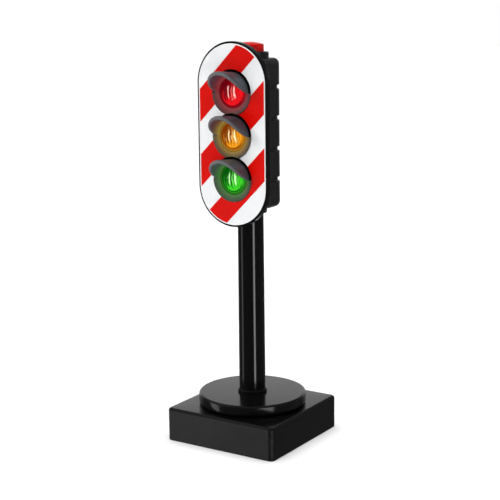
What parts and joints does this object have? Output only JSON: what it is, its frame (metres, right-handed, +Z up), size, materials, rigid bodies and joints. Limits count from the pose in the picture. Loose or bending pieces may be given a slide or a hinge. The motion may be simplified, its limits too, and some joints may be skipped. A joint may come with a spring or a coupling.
{
  "type": "toy traffic signal on a stand",
  "caption": "Small traffic signal: lamps with cap visors in a striped oval backboard on a battery housing, round mast, turntable disc and square base, with a top push button.",
  "frame": {"origin": "centre of the base's underside, on the ground", "axes": "+Z up along the mast; the lamps face -Y; the base block's sides lie along X and Y"},
  "size_m": [0.04, 0.04, 0.1269],
  "materials": {
    "gloss_black": "moulded gloss",
    "satin_black": "satin moulded",
    "foam_pad": "closed-cell foam",
    "zinc_steel": "zinc plated",
    "nylon": "natural nylon",
    "white_film": "coated film",
    "red_film": "coated film",
    "visor_grey": "fine satin",
    "red_lens": "clear tinted, lit",
    "amber_lens": "clear tinted, lit",
    "green_lens": "clear tinted, lit",
    "red_led": "clear epoxy, lit",
    "amber_led": "clear epoxy, lit",
    "green_led": "clear epoxy, lit",
    "board_green": "solder mask",
    "epoxy_black": "moulded",
    "red_plastic": "moulded gloss",
    "spring_wire": "drawn wire",
    "cell_steel": "nickel plated",
    "contact_metal": "plated strip"
  },
  "bodies": {
    "base": {"base_shell": "gloss_black", "base_cover": "satin_black", "foot_pad": "foam_pad", "ballast_weight": "zinc_steel", "base_cover_screws": "zinc_steel", "thrust_washer": "nylon"},
    "signal": {"turntable_disc": "gloss_black", "pivot_screw": "zinc_steel", "retaining_washer": "zinc_steel", "mast": "gloss_black", "mast_collar": "gloss_black", "rear_housing": "satin_black", "front_plate": "gloss_black", "housing_screws": "zinc_steel", "white_sheet": "white_film", "red_stripes": "red_film", "lamp_bezel": "visor_grey", "red_visor": "visor_grey", "amber_visor": "visor_grey", "green_visor": "visor_grey", "red_lens": "red_lens", "amber_lens": "amber_lens", "green_lens": "green_lens", "red_led": "red_led", "amber_led": "amber_led", "green_led": "green_led", "circuit_board": "board_green", "control_chip": "epoxy_black", "resistors": "epoxy_black", "push_switch": "satin_black", "battery_holder": "satin_black", "battery_cells": "cell_steel", "upper_contact": "contact_metal", "lower_contact": "contact_metal"},
    "button": {"push_button": "red_plastic", "switch_plunger": "nylon", "button_spring": "spring_wire"},
    "door": {"battery_door": "satin_black", "door_screw": "zinc_steel"}
  },
  "joints": [
    {"name": "turntable_turn", "type": "hinge", "parent": "base", "child": "signal", "pos_m": [0, 0, 0.0107], "axis": [0, 0, 1], "continuous": true},
    {"name": "button_press", "type": "slide", "parent": "signal", "child": "button", "axis": [0, 0, -1], "range_m": [0, 0.0015], "stiffness_N_per_m": 600, "springref_m": -0.0007, "deforming": ["button_spring"]},
    {"name": "battery_door_swing", "type": "hinge", "parent": "signal", "child": "door", "pos_m": [0, 0.0073, 0.1013], "axis": [1, 0, 0], "range_deg": [0, 60]}
  ]
}
